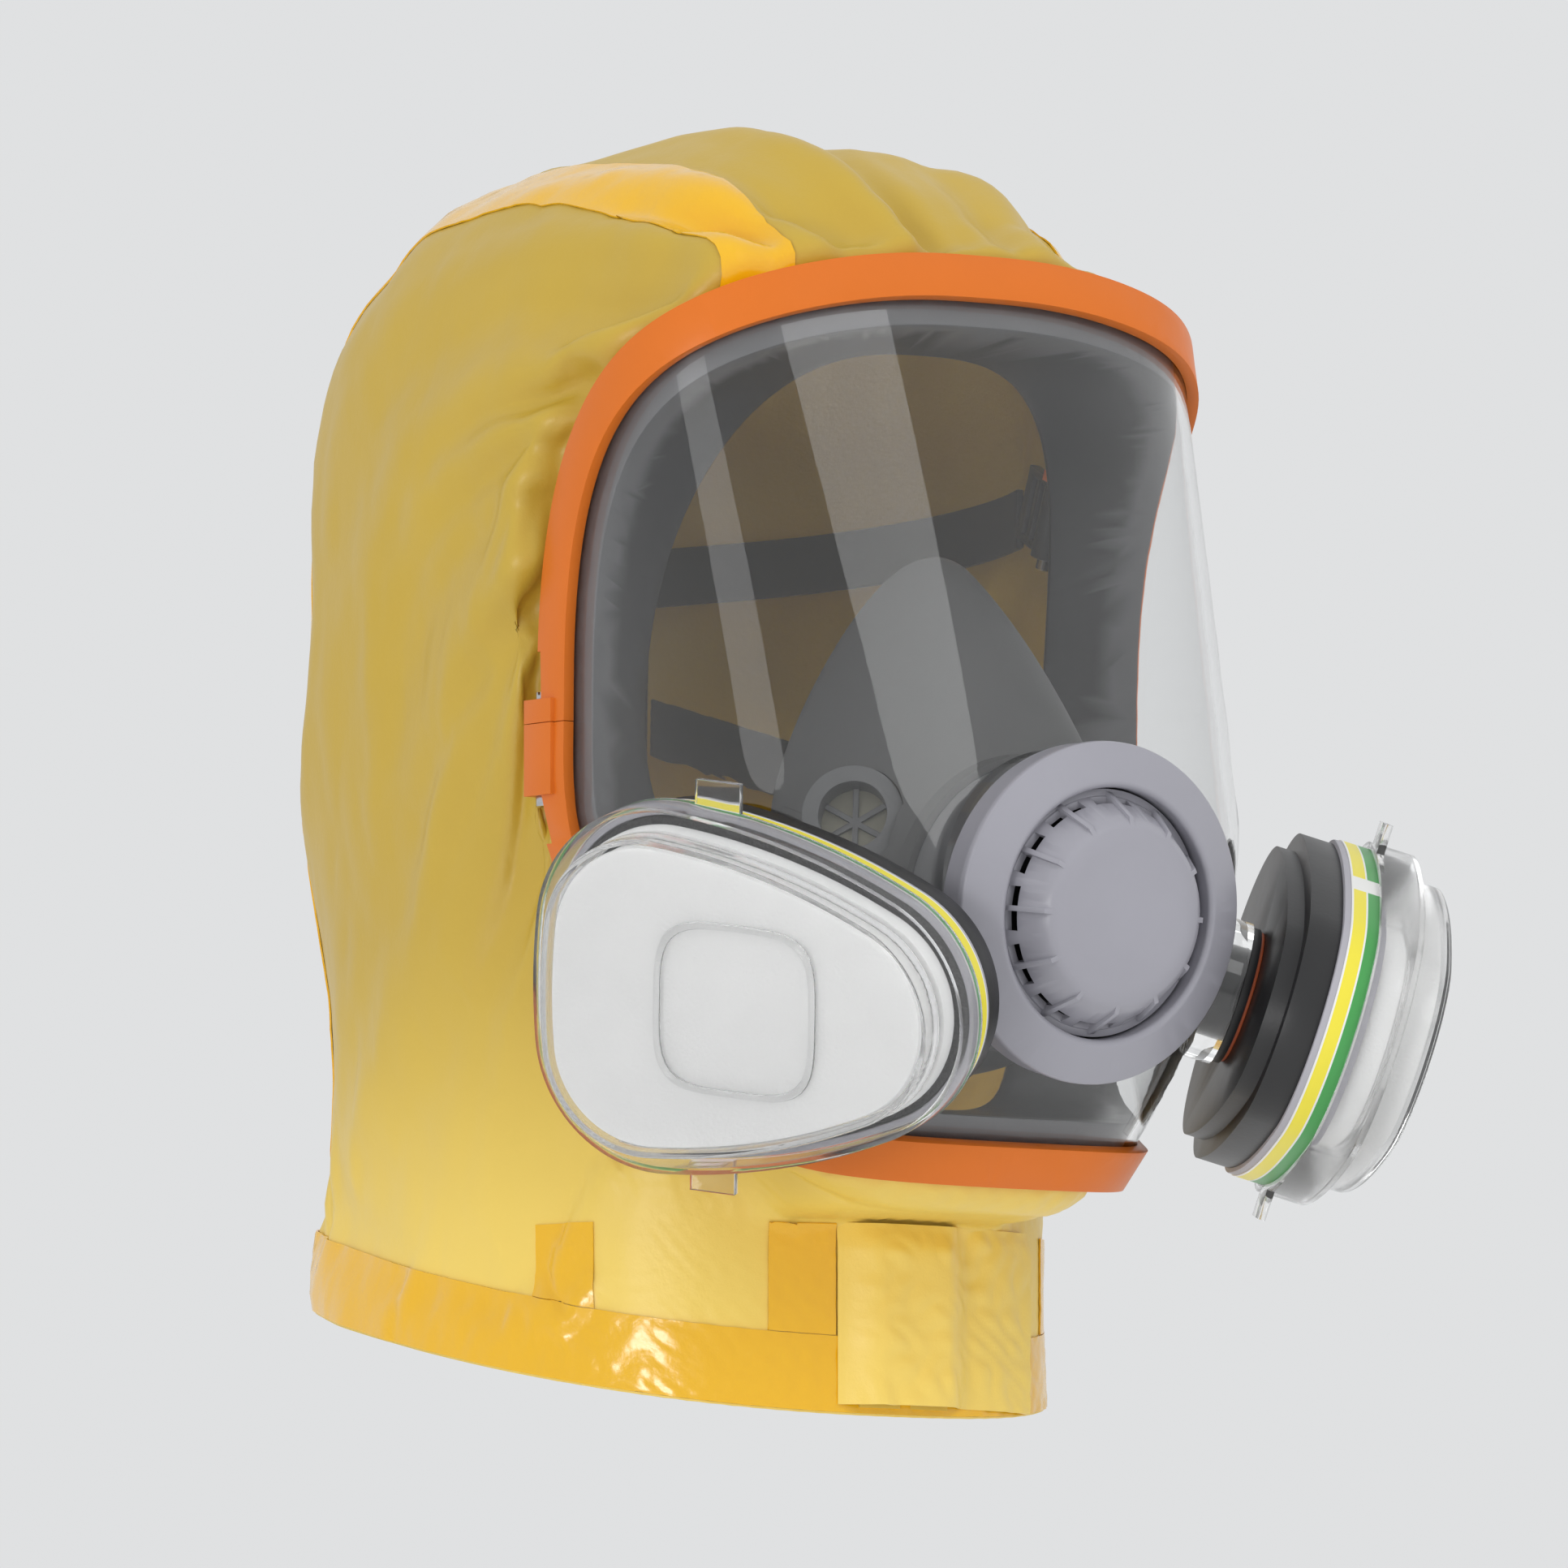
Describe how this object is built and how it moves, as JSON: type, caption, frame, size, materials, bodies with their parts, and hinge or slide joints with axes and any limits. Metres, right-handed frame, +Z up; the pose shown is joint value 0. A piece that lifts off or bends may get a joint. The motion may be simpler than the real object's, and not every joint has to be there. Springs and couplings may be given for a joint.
{
  "type": "smoke hood",
  "caption": "Taped protective hood with neck hem, storm flap and zip, worn over a full-face mask with clear visor, exhalation valve and two bayonet filter cartridges.",
  "frame": {"origin": "centre of the neck opening, at the height of the neck hem's lowest (front) point", "axes": "+Z up, the face looks along -Y, the wearer's left is +X"},
  "size_m": [0.2652, 0.3084, 0.3235],
  "materials": {
    "hood_fabric": "coated satin nonwoven",
    "seam_tape": "glossy heat-sealed film",
    "elastic": "woven elastic",
    "zip_tape": "woven",
    "zip_teeth": "moulded",
    "zip_slider": "painted",
    "frame_orange": "satin",
    "bright_steel": "satin",
    "lens_clear": "clear polished",
    "seal_grey": "matte silicone",
    "cup_grey": "matte silicone",
    "port_grey": "satin lavender grey",
    "port_clear": "moulded",
    "flap_silicone": "soft",
    "gasket_orange": "soft",
    "black_plastic": "moulded",
    "can_grey": "satin lavender grey",
    "label_stripes": "plain colour-coded band",
    "charcoal": "granular",
    "pad_white": "felted fibre",
    "retainer_clear": "translucent",
    "harness_rubber": "moulded",
    "buckle_plastic": "moulded"
  },
  "bodies": {
    "hood": {"buckle_pins": "bright_steel", "chin_gusset": "hood_fabric", "crown_tape_left": "seam_tape", "crown_tape_right": "seam_tape", "cup_valve_seats": "port_grey", "exhalation_valve_seat": "black_plastic", "face_collar": "hood_fabric", "face_elastic": "elastic", "face_hem": "hood_fabric", "face_seal": "seal_grey", "filter_port_gaskets": "gasket_orange", "filter_port_nuts": "black_plastic", "flap_tape": "seam_tape", "frame_lower": "frame_orange", "frame_nuts": "bright_steel", "frame_screws": "bright_steel", "frame_upper": "frame_orange", "harness_pad": "harness_rubber", "hood_shell": "hood_fabric", "left_filter_port": "black_plastic", "lens": "lens_clear", "neck_seam_tape": "seam_tape", "nose_cup": "cup_grey", "port_housing": "port_clear", "port_o_ring": "gasket_orange", "right_filter_port": "black_plastic", "strap_lower_left": "harness_rubber", "strap_lower_right": "harness_rubber", "strap_upper_left": "harness_rubber", "strap_upper_right": "harness_rubber", "throat_tape_left": "seam_tape", "throat_tape_right": "seam_tape", "valve_ring": "port_grey", "zip_tapes": "zip_tape", "zip_teeth": "zip_teeth"},
    "right_filter": {"right_filter_base": "black_plastic", "right_filter_can": "can_grey", "right_filter_label": "label_stripes", "right_charcoal_bed": "charcoal", "right_particle_pad": "pad_white"},
    "right_retainer": {"right_retainer": "retainer_clear"},
    "right_intake_flap": {"right_intake_flap": "flap_silicone"},
    "right_cup_flap": {"right_cup_flap": "flap_silicone"},
    "left_filter": {"left_filter_base": "black_plastic", "left_filter_can": "can_grey", "left_filter_label": "label_stripes", "left_charcoal_bed": "charcoal", "left_particle_pad": "pad_white"},
    "left_retainer": {"left_retainer": "retainer_clear"},
    "left_intake_flap": {"left_intake_flap": "flap_silicone"},
    "left_cup_flap": {"left_cup_flap": "flap_silicone"},
    "buckle_upper_right": {"buckle_upper_right": "buckle_plastic"},
    "buckle_upper_left": {"buckle_upper_left": "buckle_plastic"},
    "buckle_lower_right": {"buckle_lower_right": "buckle_plastic"},
    "buckle_lower_left": {"buckle_lower_left": "buckle_plastic"},
    "zip_slider": {"zip_slider": "zip_slider"},
    "storm_flap": {"storm_flap": "hood_fabric"},
    "exhalation_flap": {"exhalation_flap": "flap_silicone"},
    "valve_cover": {"valve_cover": "port_grey"}
  },
  "joints": [
    {"name": "right_filter_twist", "type": "hinge", "parent": "hood", "child": "right_filter", "pos_m": [-0.06732, -0.14739, 0.10466], "axis": [-0.8444, -0.449, -0.2924], "range_deg": [0, 30]},
    {"name": "right_retainer_pull", "type": "slide", "parent": "right_filter", "child": "right_retainer", "axis": [-0.8444, -0.449, -0.2924], "range_m": [0, 0.025]},
    {"name": "right_intake_flap_lift", "type": "slide", "parent": "hood", "child": "right_intake_flap", "axis": [0.8444, 0.449, 0.2924], "range_m": [0, 0.0012], "stiffness_N_per_m": 30},
    {"name": "right_cup_flap_lift", "type": "slide", "parent": "hood", "child": "right_cup_flap", "axis": [0.6561, 0.7287, -0.1961], "range_m": [0, 0.0012], "stiffness_N_per_m": 30},
    {"name": "left_filter_twist", "type": "hinge", "parent": "hood", "child": "left_filter", "pos_m": [0.06732, -0.14739, 0.10466], "axis": [0.8444, -0.449, -0.2924], "range_deg": [0, 30]},
    {"name": "left_retainer_pull", "type": "slide", "parent": "left_filter", "child": "left_retainer", "axis": [0.8444, -0.449, -0.2924], "range_m": [0, 0.025]},
    {"name": "left_intake_flap_lift", "type": "slide", "parent": "hood", "child": "left_intake_flap", "axis": [-0.8444, 0.449, 0.2924], "range_m": [0, 0.0012], "stiffness_N_per_m": 30},
    {"name": "left_cup_flap_lift", "type": "slide", "parent": "hood", "child": "left_cup_flap", "axis": [-0.6561, 0.7287, -0.1961], "range_m": [0, 0.0012], "stiffness_N_per_m": 30},
    {"name": "exhalation_flap_lift", "type": "slide", "parent": "hood", "child": "exhalation_flap", "axis": [0, -0.9914, -0.1305], "range_m": [0, 0.0016], "stiffness_N_per_m": 30},
    {"name": "valve_cover_pull", "type": "slide", "parent": "hood", "child": "valve_cover", "axis": [0, -0.9914, -0.1305], "range_m": [0, 0.02]},
    {"name": "zip_slider_travel", "type": "slide", "parent": "hood", "child": "zip_slider", "axis": [0, 0, -1], "range_m": [0, 0.032]},
    {"name": "storm_flap_hinge", "type": "hinge", "parent": "hood", "child": "storm_flap", "pos_m": [-0.01913, -0.09842, 0.025], "axis": [0, 0, -1], "range_deg": [0, 150]},
    {"name": "buckle_upper_right_swing", "type": "hinge", "parent": "hood", "child": "buckle_upper_right", "pos_m": [-0.06573, -0.06976, 0.23008], "axis": [0.0067, -0.3581, 0.9337], "range_deg": [-12, 12]},
    {"name": "buckle_upper_left_swing", "type": "hinge", "parent": "hood", "child": "buckle_upper_left", "pos_m": [0.06573, -0.06976, 0.23008], "axis": [-0.0067, -0.3581, 0.9337], "range_deg": [-12, 12]},
    {"name": "buckle_lower_right_swing", "type": "hinge", "parent": "hood", "child": "buckle_lower_right", "pos_m": [-0.06557, -0.06302, 0.15054], "axis": [-0.1832, 0.0707, 0.9805], "range_deg": [-12, 12]},
    {"name": "buckle_lower_left_swing", "type": "hinge", "parent": "hood", "child": "buckle_lower_left", "pos_m": [0.06557, -0.06302, 0.15054], "axis": [0.1832, 0.0707, 0.9805], "range_deg": [-12, 12]}
  ]
}
